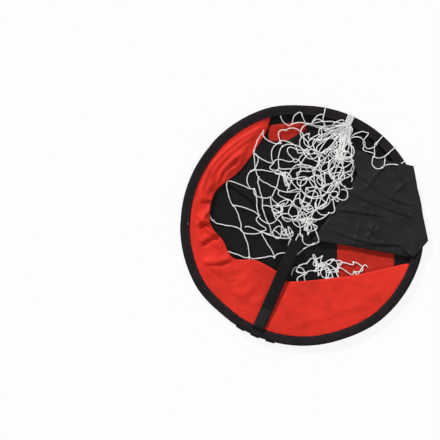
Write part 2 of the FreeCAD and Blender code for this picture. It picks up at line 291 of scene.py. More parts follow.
def tape(name, colour, rib, rough=0.82):
    """Ribbed woven tape: u runs along it and v across it."""
    g = Graph(name)
    g.set(Roughness=rough, Sheen_Weight=0.015, Sheen_Roughness=0.5, Specular_IOR_Level=0.10)
    fade = g.noise(30, 4.0, 0.65, 0.4)
    g.colour(g.ramp(fade, [(0.32, times(colour, 0.7)), (0.55, colour), (0.78, times(colour, 1.5))]))
    g.bump(g.wave(rib, "X"), 0.00022, 0.6)
    g.bump(g.wave(rib * 0.6, "Y", distortion=0.4), 0.00015, 0.45)
    g.bump(g.noise(400, 3.0, 0.6), 0.0004, 0.25)
    return g.done()


BINDING = tape("black_binding", (0.0150, 0.0118, 0.0140), 0.0012)
WEBBING = tape("black_webbing", (0.0072, 0.0070, 0.0074), 0.0016, 0.78)


def twine_material(name, coordinates):
    g = Graph(name, coordinates)
    g.set(Roughness=0.72, Sheen_Weight=0.15, Sheen_Roughness=0.4, Specular_IOR_Level=0.4)
    grey = g.noise(70, 3.0, 0.6)
    g.colour(g.ramp(grey, [(0.2, (0.80, 0.79, 0.77)), (0.45, (0.94, 0.93, 0.92)), (0.8, (0.98, 0.98, 0.97))]))
    g.bump(g.wave(0.0009, "X", turn=0.5), 0.0002, 0.7)
    g.bump(g.noise(900, 2.0, 0.6), 0.0003, 0.3)
    return g.done()


TWINE = twine_material("white_twine", "UV")
TWINE_CAD = twine_material("white_twine_solid", "Object")


def thread_material():
    g = Graph("black_thread")
    g.set(Roughness=0.55, Specular_IOR_Level=0.45)
    g.colour(g.ramp(g.noise(500, 2.0), [(0.3, (0.018, 0.017, 0.018)), (0.7, (0.05, 0.047, 0.05))]))
    g.bump(g.wave(0.0005, "X", turn=0.6), 0.0001, 0.5)
    return g.done()


THREAD = thread_material()


def steel(name, colour, rough):
    g = Graph(name, "Object")
    g.set(Metallic=1.0, Roughness=rough, Specular_IOR_Level=0.5)
    g.colour(g.ramp(g.noise(60, 4.0, 0.6), [(0.3, times(colour, 0.7)), (0.7, colour)]))
    g.bump(g.noise(900, 2.0, 0.5, stretch=(1, 1, 8)), 0.0001, 0.3)
    return g.done()


STEEL = steel("spring_steel", (0.42, 0.42, 0.43), 0.35)
FERRULE = steel("ferrule_steel", (0.62, 0.62, 0.63), 0.3)


def hook_material():
    g = Graph("hook_and_loop")
    g.set(Roughness=0.95, Sheen_Weight=0.03, Sheen_Roughness=0.6, Specular_IOR_Level=0.08)
    pile = g.noise(1400, 2.0, 0.7, 0.5)
    g.colour(g.ramp(pile, [(0.35, (0.008, 0.008, 0.009)), (0.65, (0.034, 0.033, 0.036))]))
    g.bump(pile, 0.0006, 0.9)
    return g.done()


HOOK = hook_material()


# ---------------------------------------------------------------- mesh helpers
def finish_mesh(name, mesh, material):
    """Turns the faces outwards, smooths them and puts the mesh into the scene."""
    bm = bmesh.new()
    bm.from_mesh(mesh)
    bmesh.ops.recalc_face_normals(bm, faces=bm.faces)
    bm.to_mesh(mesh)
    bm.free()
    mesh.polygons.foreach_set("use_smooth", [True] * len(mesh.polygons))
    mesh.materials.append(material)
    mesh.update()
    obj = bpy.data.objects.new(name, mesh)
    scene.collection.objects.link(obj)
    return obj


class Builder:
    """Collects verts (mm) and faces with uv (metres) of many small shapes into one mesh."""

    def __init__(self):
        self.verts, self.faces, self.uvs = [], [], []

    def grid(self, points, u, v, close_u=False, close_v=False):
        """points[i][j]; u and v hold one value more than the points on a closed side."""
        n, m = len(points), len(points[0])
        first = len(self.verts)
        for row in points:
            self.verts.extend(tuple(float(c) for c in p) for p in row)
        for i in range(n if close_u else n - 1):
            for j in range(m if close_v else m - 1):
                a, b = (i + 1) % n, (j + 1) % m
                self.faces.append(tuple(first + k for k in (i * m + j, a * m + j, a * m + b, i * m + b)))
                self.uvs.extend([(u[i], v[j]), (u[i + 1], v[j]), (u[i + 1], v[j + 1]), (u[i], v[j + 1])])
        return first

    def close_ends(self, first, rings, around):
        """Caps the first and the last ring of a run that grid made."""
        last = first + (rings - 1) * around
        for indices in (range(first + around - 1, first - 1, -1), range(last, last + around)):
            self.faces.append(tuple(indices))
            self.uvs.extend([(0.0, 0.0)] * around)

    def tube(self, path, radius, sides=6, closed=False):
        """A round tube along path (mm), narrower and capped at its ends when it is open."""
        path = np.asarray(path, float)
        count = len(path)
        ahead = np.roll(path, -1, 0) - path
        if not closed:
            ahead[-1] = ahead[-2]
        behind = np.roll(ahead, 1, 0)
        if not closed:
            behind[0] = ahead[0]
        tangent = ahead + behind
        tangent /= np.linalg.norm(tangent, axis=1)[:, None] + 1e-9
        side = np.cross(tangent[0], (0.0, 0.0, 1.0))
        if np.linalg.norm(side) < 0.1:
            side = np.array((1.0, 0.0, 0.0))
        rings, run, lengths = [], 0.0, []
        for i in range(count):
            side = side - tangent[i] * side.dot(tangent[i])
            side /= np.linalg.norm(side) + 1e-9
            up = np.cross(tangent[i], side)
            r = radius
            if not closed and i in (0, count - 1):
                r = radius * 0.55
            rings.append([path[i] + r * (math.cos(t) * side + math.sin(t) * up)
                          for t in np.arange(sides) * TAU / sides])
            lengths.append(run * MM)
            run += float(np.linalg.norm(ahead[i]))
        around = [k * TAU * radius / sides * MM for k in range(sides + 1)]
        if closed:
            lengths.append(run * MM)
        first = self.grid(rings, lengths, around, close_u=closed, close_v=True)
        if not closed:
            self.close_ends(first, count, sides)

    def made(self, name, material):
        mesh = bpy.data.meshes.new(name)
        mesh.from_pydata([(x * MM, y * MM, z * MM) for x, y, z in self.verts], [], self.faces)
        layer = mesh.uv_layers.new(name="UVMap")
        layer.data.foreach_set("uv", [c for uv in self.uvs for c in uv])
        return finish_mesh(name, mesh, material)


def catmull(points, step):
    """Smooth curve through points, sampled about every step mm."""
    pts = [np.asarray(p, float) for p in points]
    out = []
    for i, (p1, p2) in enumerate(zip(pts[:-1], pts[1:])):
        p0 = pts[i - 1] if i else 2 * p1 - p2
        p3 = pts[i + 2] if i + 2 < len(pts) else 2 * p2 - p1
        count = max(2, int(np.linalg.norm(p2 - p1) / step + 0.5))
        for k in range(count):
            t = k / count
            out.append(0.5 * (2 * p1 + (p2 - p0) * t + (2 * p0 - 5 * p1 + 4 * p2 - p3) * t * t
                              + (3 * p1 - p0 - 3 * p2 + p3) * t ** 3))
    out.append(pts[-1])
    return np.array(out)


def smooth(t):
    """An even step from 0 to 1 with soft ends."""
    t = np.clip(t, 0, 1)
    return t * t * (3 - 2 * t)


def inside(x, y, polygon):
    """True where a point lies in the polygon."""
    hit = np.zeros(len(x), bool)
    n = len(polygon)
    for i in range(n):
        (ax, ay), (bx, by) = polygon[i], polygon[(i + 1) % n]
        if ay == by:
            continue
        cross = (ay > y) != (by > y)
        hit ^= cross & (x < (bx - ax) * (y - ay) / (by - ay) + ax)
    return hit


def to_line(x, y, line, closed=False):
    """Distance to a polyline, the side it is on, and how far along the nearest point is, from 0 to 1."""
    pts = np.asarray(line, float)
    if closed:
        pts = np.vstack([pts, pts[:1]])
    seg = np.linalg.norm(np.diff(pts, axis=0), axis=1)
    total = seg.sum()
    best = np.full(len(x), 1e9)
    side = np.zeros(len(x))
    along = np.zeros(len(x))
    run = 0.0
    for (ax, ay), (bx, by), length in zip(pts[:-1], pts[1:], seg):
        dx, dy = (bx - ax) / length, (by - ay) / length
        t = np.clip((x - ax) * dx + (y - ay) * dy, 0, length)
        ox, oy = x - ax - t * dx, y - ay - t * dy
        d = np.hypot(ox, oy)
        near = d < best
        best = np.where(near, d, best)
        side = np.where(near, np.sign(dx * oy - dy * ox), side)
        along = np.where(near, (run + t) / total, along)
        run += length
    return best, side, along


def rough(x, y, size, seed, turn=0.0, stretch=1.0):
    """Smooth noise from -1 to 1, with features of about size mm, longer along the angle turn."""
    c, s = math.cos(math.radians(turn)), math.sin(math.radians(turn))
    u = (x * c + y * s) / (size * stretch)
    v = (-x * s + y * c) / size
    return np.array([noise.noise((a, b, seed)) for a, b in zip(u, v)])


def wrinkles(x, y, size, seed, turn=0.0, stretch=2.5):
    """Sharp-crested wrinkles from -1 to 1."""
    return 1 - 2 * np.minimum(1, 1.6 * np.abs(rough(x, y, size, seed, turn, stretch)))


FOLD_GAIN = 1.7
CLOTH_THICKNESS = 0.5


def fold(x, y, line, width, height, crease, sharp=1.35):
    """A ridge along a line with a crease on its right-hand side, fading out at both ends."""
    d, side, along = to_line(x, y, catmull([(*p, 0) for p in line], 6.0)[:, :2])
    s = d * side
    fade = np.clip(np.minimum(along, 1 - along) * 6, 0, 1) ** 0.7
    ridge = np.exp(-(np.abs(s) / width) ** sharp)
    valley = np.exp(-((s + 1.35 * width) / (0.55 * width)) ** 2)
    return FOLD_GAIN * height * fade * (ridge - crease * valley)


def densify(outline, step):
    """The outline with a point about every step mm."""
    out = []
    n = len(outline)
    for i in range(n):
        a, b = np.asarray(outline[i], float), np.asarray(outline[(i + 1) % n], float)
        count = max(1, int(np.linalg.norm(b - a) / step + 0.5))
        out.extend(a + (b - a) * k / count for k in range(count))
    return np.array(out)


def cloth(name, outline, height, material, spacing):
    """A sheet of cloth (mm): outline in plan, height(x, y) of its middle, made into a thin closed shell."""
    border = densify(outline, spacing)
    lo, hi = border.min(0), border.max(0)
    row_share = 0.866
    rows = int((hi[1] - lo[1]) / (spacing * row_share)) + 2
    cols = int((hi[0] - lo[0]) / spacing) + 2
    gx = np.array([lo[0] + (i + 0.5 * (j % 2)) * spacing for j in range(rows) for i in range(cols)])
    gy = np.array([lo[1] + j * spacing * row_share for j in range(rows) for _ in range(cols)])
    keep = inside(gx, gy, [tuple(p) for p in outline])
    gx, gy = gx[keep], gy[keep]
    d, _, _ = to_line(gx, gy, border, closed=True)
    gx, gy = gx[d > spacing * 0.55], gy[d > spacing * 0.55]
    flat = [Vector((float(a), float(b))) for a, b in [*border, *zip(gx, gy)]]
    n = len(border)
    edges = [(i, (i + 1) % n) for i in range(n)]
    made = delaunay_2d_cdt(flat, edges, [], 1, 1e-4)
    xy = np.array([(p[0], p[1]) for p in made[0]])
    faces = [tuple(f) for f in made[2]]
    z = height(xy[:, 0], xy[:, 1])
    mesh = bpy.data.meshes.new(name)
    mesh.from_pydata([(a * MM, b * MM, c * MM) for (a, b), c in zip(xy, z)], [], faces)
    layer = mesh.uv_layers.new(name="UVMap")
    for loop in mesh.loops:
        layer.data[loop.index].uv = tuple(xy[loop.vertex_index] * MM)
    obj = finish_mesh(name, mesh, material)
    if mesh.polygons[0].normal.z < 0:
        mesh.flip_normals()
    thick = obj.modifiers.new("thickness", "SOLIDIFY")
    thick.thickness = CLOTH_THICKNESS * MM
    thick.offset = 0.0
    thick.use_even_offset = False
    graph = bpy.context.evaluated_depsgraph_get()
    solid = bpy.data.meshes.new_from_object(obj.evaluated_get(graph))
    obj.modifiers.clear()
    obj.data = solid
    return obj


def sag(angle):
    """How far, in mm, the limp hoops stand out of round at an azimuth in radians."""
    out = 0.0
    for centre, half, amount in ((145, 34, 6.0), (182, 44, 5.0), (219, 34, 6.0), (350, 40, 4.5)):
        off = abs((np.degrees(angle) - centre + 180) % 360 - 180)
        out = np.maximum(out, amount * smooth(1.6 * (1 - off / half)))
    return out


def rim(x, y):
    """Distance from the middle less what the hoop stands out there: 230 to 250 mm on the binding."""
    return np.hypot(x, y) - sag(np.arctan2(y, x))


def arc(radius, start, end, step):
    """A run of points, a step of degrees apart, that follows the out-of-round hoops."""
    count = max(2, int(abs(end - start) / step))
    angles = np.radians(np.linspace(start, end, count + 1))
    return [(float(r * math.cos(a)), float(r * math.sin(a))) for a, r in zip(angles, radius + sag(angles))]


# ---------------------------------------------------------------- hoop bindings
def pucker(angle, seed):
    """How the sewn tape ripples at an azimuth in radians, from about -1 to 1."""
    a = angle * 40
    return (0.6 * noise.noise((math.cos(angle) * 22, math.sin(angle) * 22, seed))
            + 0.5 * math.sin(a * 2.3 + 3 * noise.noise((math.cos(angle) * 7, math.sin(angle) * 7, seed + 5))))


def ring_height(part, angle, seed, level):
    """Top surface of the tape at part of its width (0 inner edge, 1 outer edge), in mm."""
    thin = 1.6 + 0.35 * pucker(angle, seed)
    shape = thin + (BINDING_HALF - thin) * smooth(np.float64(part) / 0.55)
    if part > 0.72:
        shape = BINDING_HALF * math.sqrt(max(0.0, 1 - ((part - 0.72) / 0.28) ** 2))
    return level + float(shape)


def hoop_binding(name, level, seed):
    """The tape folded round a hoop: thin at its sewn inner edge, where it dips, and full round the wire."""
    build = Builder()
    segments, girth = 1080, 44
    parts = [0.0, 0.06, 0.15, 0.28, 0.42, 0.56, 0.70, 0.80, 0.88, 0.94, 0.98, 1.0]
    rings = []
    for i in range(segments):
        angle = i * TAU / segments
        ripple = pucker(angle, seed)
        shift = float(sag(angle))
        inner = HOOP_IN + shift + 0.5 * ripple
        outer = HOOP_OUT + shift - 0.15 - 0.25 * (1 + pucker(angle, seed + 9)) / 2
        top = [(part, ring_height(part, angle, seed, 0.0)) for part in parts]
        profile = top + [(part, -h) for part, h in top[-2::-1]]
        profile[0] = (0.0, profile[0][1] * 0.8)
        profile[-1] = (0.0, profile[-1][1] * 0.8)
        ring = []
        for k, (part, h) in enumerate(profile):
            dimple = 0.28 * math.exp(-((part - 0.16) / 0.07) ** 2) * (0.6 + 0.4 * math.cos(i * math.pi))
            r = inner + part * (outer - inner)
            h = h - math.copysign(min(dimple, abs(h) * 0.5), h)
            h *= 1 + 0.05 * pucker(angle + 0.01 * k, seed + 3)
            h = max(-BINDING_HALF, min(BINDING_HALF, h))
            ring.append((r * math.cos(angle), r * math.sin(angle), level + h))
        rings.append(ring)
    m = len(rings[0])
    u = [i * TAU * (HOOP_IN + HOOP_OUT) / 2 / segments * MM for i in range(segments + 1)]
    v = [k * girth / m * MM for k in range(m + 1)]
    build.grid(rings, u, v, close_u=True, close_v=True)
    return build.made(name, BINDING)


def hoop_stitches(name, level, seed):
    """One round of straight stitches near the inner edge of the tape."""
    radius, pitch, length = 233.3, 4.4, 3.1
    build = Builder()
    count = int(TAU * radius / pitch)
    part = (radius - HOOP_IN) / (HOOP_OUT - HOOP_IN)
    for i in range(count):
        a = i * TAU / count
        half = length / radius / 2
        path = []
        for t, lift in ((-1, -0.45), (-0.55, 0.05), (0, 0.18), (0.55, 0.05), (1, -0.45)):
            b = a + t * half
            z = ring_height(part, b, seed, level) - 0.15 + lift
            r = radius + float(sag(b))
            path.append((r * math.cos(b), r * math.sin(b), z))
        build.tube(path, 0.30, 5)
    return build.made(name, THREAD)


base_ring = hoop_binding("base_binding_tape", BASE_MID, 2.0)
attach(base_ring, "base")
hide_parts("base_hoop_binding")
mouth_ring = hoop_binding("mouth_binding_tape", MOUTH_MID, 7.0)
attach(mouth_ring, "mouth")
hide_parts("mouth_hoop_binding")
for ring_name, body, level, seed in (("base_binding_stitches", "base", BASE_MID, 2.0),
                                     ("mouth_binding_stitches", "mouth", MOUTH_MID, 7.0)):
    stitches = hoop_stitches(ring_name, level, seed)
    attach(stitches, body)

CAD_LOOKS = {
    "base_hoop_wire": STEEL, "mouth_hoop_wire": STEEL,
    "base_hoop_ferrule": FERRULE, "mouth_hoop_ferrule": FERRULE,
    "net_ties": TWINE_CAD, "net_head_lashing": TWINE_CAD,
}
for node, material in CAD_LOOKS.items():
    frame["nodes"][node].data.materials.clear()
    frame["nodes"][node].data.materials.append(material)


# ---------------------------------------------------------------- base cloth and its red patches
def floor_level(x, y):
    """The base cloth slackens to the floor between its wrinkles."""
    r = rim(x, y)
    slack = smooth((232 - r) / 60)
    z = 3.4 - 1.3 * slack
    z += slack * 0.9 * rough(x, y, 42, 3.1, 30, 1.8)
    z += slack * 0.7 * wrinkles(x, y, 26, 8.4, 115, 2.6)
    z += slack * 0.35 * rough(x, y, 12, 5.5)
    return np.maximum(z, 0.55)


disc = arc(CLOTH_SEAM, 0, 360, 2.0)[:-1]
# The base cloth takes the darker copy of the black nylon, which is painted shade.
base_cloth = cloth("base_cloth", disc, floor_level, BLACK_PAINTED_SHADE, 5.5)
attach(base_cloth, "base")
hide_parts("base_panel")


def node_corners(node):
    """The corners, in plan and in mm, of a flat four-cornered CAD node, going round."""
    co = np.array([(v.co.x, v.co.y) for v in frame["nodes"][node].data.vertices]) / MM
    middle = (co.max(0) + co.min(0)) / 2
    far = np.hypot(*(co - middle).T)
    corners = []
    for i in np.argsort(-far):
        if all(np.hypot(*(co[i] - c)) > 5 for c in corners):
            corners.append(co[i])
        if len(corners) == 4:
            break
    corners.sort(key=lambda c: math.atan2(c[1] - middle[1], c[0] - middle[0]))
    return [tuple(c) for c in corners]


def patch(name, node, seed):
    """A red patch laid on the base cloth, with a row of stitches inside each edge."""
    pitch, inset = 4.0, 2.6
    outline = node_corners(node)

    def level(x, y):
        z = floor_level(x, y) + 0.75 + 0.25 * rough(x, y, 18, seed)
        return z + 0.15 * wrinkles(x, y, 20, seed + 2, 30)

    obj = cloth(name, outline, level, RED_FLOOR, 4.0)
    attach(obj, "base")
    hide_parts(node)
    build = Builder()
    for a, b in zip(outline, outline[1:] + outline[:1]):
        a, b = np.array(a), np.array(b)
        run = np.linalg.norm(b - a)
        along = (b - a) / run
        inward = np.array((-along[1], along[0]))
        count = int(run / pitch)
        for k in range(count):
            mid = a + inward * inset + along * (k + 0.5) * run / count
            xs, ys = np.array([mid + along * s for s in (-1.4, -0.7, 0, 0.7, 1.4)]).T
            zs = level(xs, ys) + np.array((0.0, 0.3, 0.36, 0.3, 0.0))
            build.tube(np.column_stack([xs, ys, zs]), 0.28, 5)
    seam = build.made(name + "_stitches", THREAD)
    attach(seam, "base")


patch("base_patch_left_cloth", "base_patch_left", 4.2)
patch("base_patch_right_cloth", "base_patch_right", 9.3)

# ---------------------------------------------------------------- red target cloth round the mouth
def curved(points):
    """A smooth curve in plan through a few points."""
    return [(float(x), float(y)) for x, y, _ in catmull([(*p, 0) for p in points], 6.0)]


# The free edges: the left one runs from the hoop to the strap, the right one from the strap to the hoop.
LEFT_EDGE = curved([(-150, 170), (-150, 130), (-165, 55), (-195, -10), (-180, -70),
                    (-140, -95), (-105, -120), (-60, -105), (1, -110)])
left_outline = arc(CLOTH_SEAM, 130, 270.3, 2.5) + LEFT_EDGE[::-1]
RIGHT_EDGE = curved([(1.6, -110), (20, -118), (130, -57), (233, 17)])
right_outline = arc(CLOTH_SEAM, 4.2, -89.6, 2.5)[::-1] + RIGHT_EDGE[::-1][1:]
creasing = random.Random(7)


def polar(azimuth, radius):
    a = math.radians(azimuth)
    return radius * math.cos(a), radius * math.sin(a)


def crescent_folds():
    """Line, width, height and crease of each fold: long ones beside the hoop, then short slanting ones."""
    folds = []
    for k in range(5):
        azimuths = np.linspace(134 + 5 * k, 192 - 4 * k, 4)
        line = [polar(a, 224 - 9 * k + creasing.uniform(-4, 4)) for a in azimuths]
        folds.append((line, 5.5, creasing.uniform(2.6, 4.0), 0.6))
    for _ in range(9):
        azimuth, slant = creasing.uniform(184, 226), creasing.uniform(-14, 24)
        outer, inner = creasing.uniform(208, 226), creasing.uniform(160, 190)
        middle = polar(azimuth + slant * 0.7, (outer + inner) / 2)
        line = [polar(azimuth, outer), middle, polar(azimuth + slant, inner)]
        folds.append((line, creasing.uniform(4.0, 7.5), creasing.uniform(1.6, 4.0), 0.6))
    for k in range(4):
        line = [polar(222 + 8 * k, 216 - 6 * k), polar(234 + 9 * k, 190), polar(238 + 9 * k, 150 + 5 * k)]
        folds.append((line, 8.0, creasing.uniform(0.9, 1.8), 0.4))
    return folds


LEFT_FOLDS = crescent_folds()


def target_level(x, y, edge, drop):
    """From the seam at the hoop down to the loose inner edge."""
    d, _, _ = to_line(x, y, edge)
    r = rim(x, y)
    share = np.clip((CLOTH_FREE - r) / (np.maximum(CLOTH_FREE - r, 0) + d + 1e-6), 0, 1)
    return 13.3 - drop * smooth(share)


def left_level(x, y):
    z = target_level(x, y, LEFT_EDGE, 4.0)
    r = rim(x, y)
    loose = smooth((CLOTH_FREE - r) / 14)
    for line, width, height, crease in LEFT_FOLDS:
        z += loose * fold(x, y, line, width, height, crease)
    azimuth = np.degrees(np.arctan2(y, x)) % 360
    bunched = np.clip(1 - np.abs(azimuth - 205) / 48, 0, 1)
    z += loose * (0.35 + 0.9 * bunched) * rough(x, y, 20, 2.7, 100, 1.8)
    z += loose * (0.25 + 0.8 * bunched) * wrinkles(x, y, 13, 6.1, 125, 2.2) * 0.55
    z += loose * 0.28 * rough(x, y, 7, 1.2)
    return np.maximum(z, 7.4)


# Line, width and height of each soft fold of the right cloth.
RIGHT_FOLDS = [([(30, -118), (90, -135), (150, -128)], 9, 0.8),
               ([(60, -200), (110, -160), (190, -90)], 10, 0.9),
               ([(20, -150), (60, -165), (100, -190)], 8, 0.7),
               ([(120, -66), (165, -60), (200, -40)], 6, 0.6)]


def right_level(x, y):
    z = target_level(x, y, RIGHT_EDGE, 3.6)
    loose = smooth((CLOTH_FREE - rim(x, y)) / 16)
    z += loose * 0.9 * rough(x, y, 48, 4.4, 20, 1.6)
    z += loose * 0.30 * wrinkles(x, y, 26, 9.9, 80, 3.0)
    z += loose * 0.25 * rough(x, y, 10, 3.3, 10, 2.0)
    for line, width, height in RIGHT_FOLDS:
        z += loose * fold(x, y, line, width, height, 0.3)
    return z


red_left = cloth("target_left_cloth", left_outline, left_level, RED, 3.6)
red_right = cloth("target_right_cloth", right_outline, right_level, RED, 4.2)
for piece, node, outline in ((red_left, "target_panel_left", left_outline),
                             (red_right, "target_panel_right", right_outline)):
    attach(piece, "mouth")
    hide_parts(node)

# ---------------------------------------------------------------- black side gussets
# The edge where a gusset folds back on itself, and the outline of the right one's upper leaf, the flap.
FOLD_EDGE = [(30, -20), (40, 30), (60, 110), (60, 145)]
FLAP = [(15, 190), (90, 190), (160, 205), (200, 145), (250, 75), (235, 30), (200, 40), (85, -5),
        *FOLD_EDGE, (35, 165)]


def flap_folds():
    """Creases run across the flap from its folded edge to the hoop, and short ones lie between them."""
    folds = []
    for k in range(4):
        near = (50, 15 + 44 * k)
        far = (creasing.uniform(150, 220), creasing.uniform(40, 85) + 28 * k)
        middle = ((near[0] + far[0]) / 2, (near[1] + far[1]) / 2 + creasing.uniform(-18, 18))
        folds.append(([near, middle, far], creasing.uniform(2.8, 4.0), creasing.uniform(1.8, 3.0), 0.8))
    for _ in range(9):
        x, y, turn = creasing.uniform(90, 210), creasing.uniform(30, 170), creasing.uniform(-0.6, 1.9)
        reach = creasing.uniform(22, 42)
        dx, dy = reach * math.cos(turn), reach * math.sin(turn)
        tips = [(x - dx, y - dy), (x + dx, y + dy)]
        folds.append((tips, creasing.uniform(2.6, 3.6), creasing.uniform(1.3, 2.5), 0.7))
    return folds


FLAP_FOLDS = flap_folds()


def flap_level(x, y):
    """The flap lies creased over the netting, climbs onto the mouth's binding and droops outside it."""
    r = rim(x, y)
    over = smooth((r - 216) / 15)
    droop = 6.5 * smooth((r - 251) / 20)
    z = 14.1 + 5.6 * over - droop
    loose = 1 - 0.75 * over
    for line, width, height, crease in FLAP_FOLDS:
        z += loose * fold(x, y, line, width, height, crease, 1.2)
    z += 1.3 * loose * rough(x, y, 34, 5.2, 35, 1.8)
    z += 1.0 * loose * wrinkles(x, y, 22, 7.7, 28, 2.8)
    z += 0.30 * rough(x, y, 9, 2.2)
    return np.maximum(z, 12.9 + 5.4 * over - droop)


flap = cloth("gusset_right_upper_cloth", FLAP, flap_level, BLACK, 3.2)
LOWER = arc(232, 7, 56, 3) + [(80, 165)] + FOLD_EDGE[::-1] + [(85, -5), (190, 20)]


def lower_leaf_level(x, y):
    r = rim(x, y)
    z = 12.2 - 4.3 * smooth((r - 205) / 24)
    return z + 0.25 * rough(x, y, 30, 6.6) + 0.2 * wrinkles(x, y, 24, 1.9, 30)


flap_lower = cloth("gusset_right_lower_cloth", LOWER, lower_leaf_level, BLACK, 6.0)
LEFT_LEAF = (arc(231, 138, 173, 3) + [(-190, 20), (-85, -5)] + [(-x, y) for x, y in FOLD_EDGE]
             + [(-60, 165), (-75, 185), (-100, 150), (-140, 130)])


def left_lower_level(x, y):
    r = rim(x, y)
    z = np.maximum(floor_level(x, y) + 0.85, 4.4) + 0.5 * (1 + wrinkles(x, y, 30, 3.9, 60))
    z += smooth((r - 218) / 13) * np.maximum(0, 7.6 - z)
    return z


def left_upper_level(x, y):
    r = rim(x, y)
    near = smooth((r - 205) / 22)
    z = left_lower_level(x, y) * (1 - near) + 6.0 * near
    z += 0.9 + 0.35 * (1 + rough(x, y, 26, 8.8))
    rise = smooth((r - 205) / 25)
    return z * (1 - rise) + rise * np.maximum(z, 9.0)


# The left leaves take the darker copy of the black nylon, which is painted shade.
left_lower = cloth("gusset_left_lower_cloth", LEFT_LEAF, left_lower_level, BLACK_PAINTED_SHADE, 6.0)
left_upper = cloth("gusset_left_upper_cloth", LEFT_LEAF, left_upper_level, BLACK_PAINTED_SHADE, 6.0)


def leaf(obj, node, upper):
    """Hides a leaf's CAD node and bakes the leaf's placement into its mesh; upper and lower leaves are
    treated alike.
    """
    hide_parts(node)
    if upper:
        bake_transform(obj)
    else:
        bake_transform(obj)


leaf(flap, "gusset_right_upper", True)
leaf(flap_lower, "gusset_right_lower", False)
leaf(left_upper, "gusset_left_upper", True)
leaf(left_lower, "gusset_left_lower", False)


# ---------------------------------------------------------------- centre strap, its pads and anchor
def band(name, y0, y1, half, level, thickness, material, round_end, step, crown):
    """Flat webbing along y with a slightly domed section; level(y) is its underside."""
    across = [-1, -0.93, -0.5, 0, 0.5, 0.93, 1]
    rise = [0.5, 0.96, 1, 1 + crown, 1, 0.96, 0.5]
    build = Builder()
    count = max(3, int(abs(y1 - y0) / step))
    rows, ys = [], []
    for i in range(count + 1):
        t = i / count
        y = y0 + (y1 - y0) * (t if not round_end else 1 - (1 - t) ** 1.15)
        near = abs(y1 - y)
        w = half
        if round_end and near < round_end:
            w = half - round_end + math.sqrt(max(0.0, round_end ** 2 - (round_end - near) ** 2))
        ripple = 0.22 * noise.noise((y * 0.11, 3.3, level(y) * 0.1))
        w += ripple
        z = level(y)
        top = [(w * a, y, z + thickness * h) for a, h in zip(across, rise)]
        bottom = [(w * a, y, z + thickness * (1 - h) * 0.6) for a, h in list(zip(across, rise))[::-1]]
        rows.append(top + bottom)
        ys.append(y * MM)
    m = len(rows[0])
    v = [k * (4 * half) / m * MM for k in range(m + 1)]
    first = build.grid(rows, ys, v, close_v=True)
    build.close_ends(first, count + 1, m)
    return build.made(name, material)


def stitch_run(build, points, level):
    """Straight stitches along a line through points; level(y) is the surface that they stand on."""
    pitch, length, radius = 2.9, 2.1, 0.26
    for a, b in zip(points[:-1], points[1:]):
        a, b = np.array(a, float), np.array(b, float)
        along = (b - a) / np.linalg.norm(b - a)
        count = max(1, int(np.linalg.norm(b - a) / pitch))
        for k in range(count):
            mid = a + along * (k + 0.5) * np.linalg.norm(b - a) / count
            path = [(*(mid + along * s * length / 2), level(mid[1]) + lift)
                    for s, lift in ((-1, -0.25), (-0.5, 0.12), (0, 0.2), (0.5, 0.12), (1, -0.25))]
            build.tube(path, radius, 5)


WEBBING_HALF = 12.4
WEBBING_THICKNESS = 1.5
SEAM_HALF = 10
strap_low, strap_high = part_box("centre_strap")
STRAP_ROOT, STRAP_TIP = strap_low.y / MM, strap_high.y / MM


def strap_level(y):
    """Underside of the strap: flat at the hoop, resting on the cloth and netting further in."""
    return 17.35 + 0.35 * noise.noise((y * 0.02, 8.1, 0.0)) + 0.9 * float(smooth((y + 120) / 60))


def strap_top(y):
    return strap_level(y) + WEBBING_THICKNESS


def seam_box(low, high):
    """The four sides of a box of stitches across the webbing."""
    return [(-SEAM_HALF, low), (SEAM_HALF, low), (SEAM_HALF, high), (-SEAM_HALF, high), (-SEAM_HALF, low)]


strap = band("strap_webbing", STRAP_ROOT, STRAP_TIP, WEBBING_HALF, strap_level, WEBBING_THICKNESS, WEBBING,
             5.0, 3.0, 0.05)
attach(strap, "strap")
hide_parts("centre_strap")
ANCHOR_LEVEL = 17.25
anchor_low, anchor_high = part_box("strap_anchor")
anchor = band("strap_anchor_webbing", anchor_low.y / MM, anchor_high.y / MM, WEBBING_HALF,
              lambda y: ANCHOR_LEVEL, WEBBING_THICKNESS, WEBBING, 0.0, 2.0, 0.03)
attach(anchor, "mouth")
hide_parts("strap_anchor")
build = Builder()
a0, a1 = anchor_low.y / MM + 1.8, anchor_high.y / MM - 1.8
for line in (seam_box(a0, a1), [(-SEAM_HALF, a0), (SEAM_HALF, a1)], [(-SEAM_HALF, a1), (SEAM_HALF, a0)]):
    stitch_run(build, line, lambda y: ANCHOR_LEVEL + WEBBING_THICKNESS)
anchor_seam = build.made("strap_anchor_stitches", THREAD)
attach(anchor_seam, "mouth")
build = Builder()
stitch_run(build, seam_box(STRAP_TIP - 42, STRAP_TIP - 3.5), strap_top)
stitch_run(build, seam_box(STRAP_ROOT + 3, STRAP_ROOT + 16), strap_top)
strap_seam = build.made("strap_stitches", THREAD)
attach(strap_seam, "strap")
for pad, piece_name, lift in (("strap_hook_pad", "strap_hook_tape", -0.85),
                              ("strap_loop_pad", "strap_loop_tape", 1.55)):
    low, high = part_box(pad)
    tape_piece = band(piece_name, low.y / MM, high.y / MM, (high.x - low.x) / MM / 2 - 0.2,
                      lambda y, lift=lift: strap_level(y) + lift, 0.8, HOOK, 0.0, 2.5, 0.1)
    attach(tape_piece, "strap")
    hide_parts(pad)


# ---------------------------------------------------------------- hinge tabs round both bindings
TAB_WIDTH = 20.0
TAB_RADIUS = 251.0
TAB_LOW = 0.9
TAB_TALL = 15.4
TAB_STEPS = 24
TAB_GIRTH = 42
# Points of the strip's section: share of half its width, and depth outwards.
TAB_OUTSIDE = [(-1, 0), (-0.9, 0.7), (0, 0.85), (0.9, 0.7), (1, 0)]
TAB_INSIDE = [(0.9, -0.5), (0, -0.6), (-0.9, -0.5)]


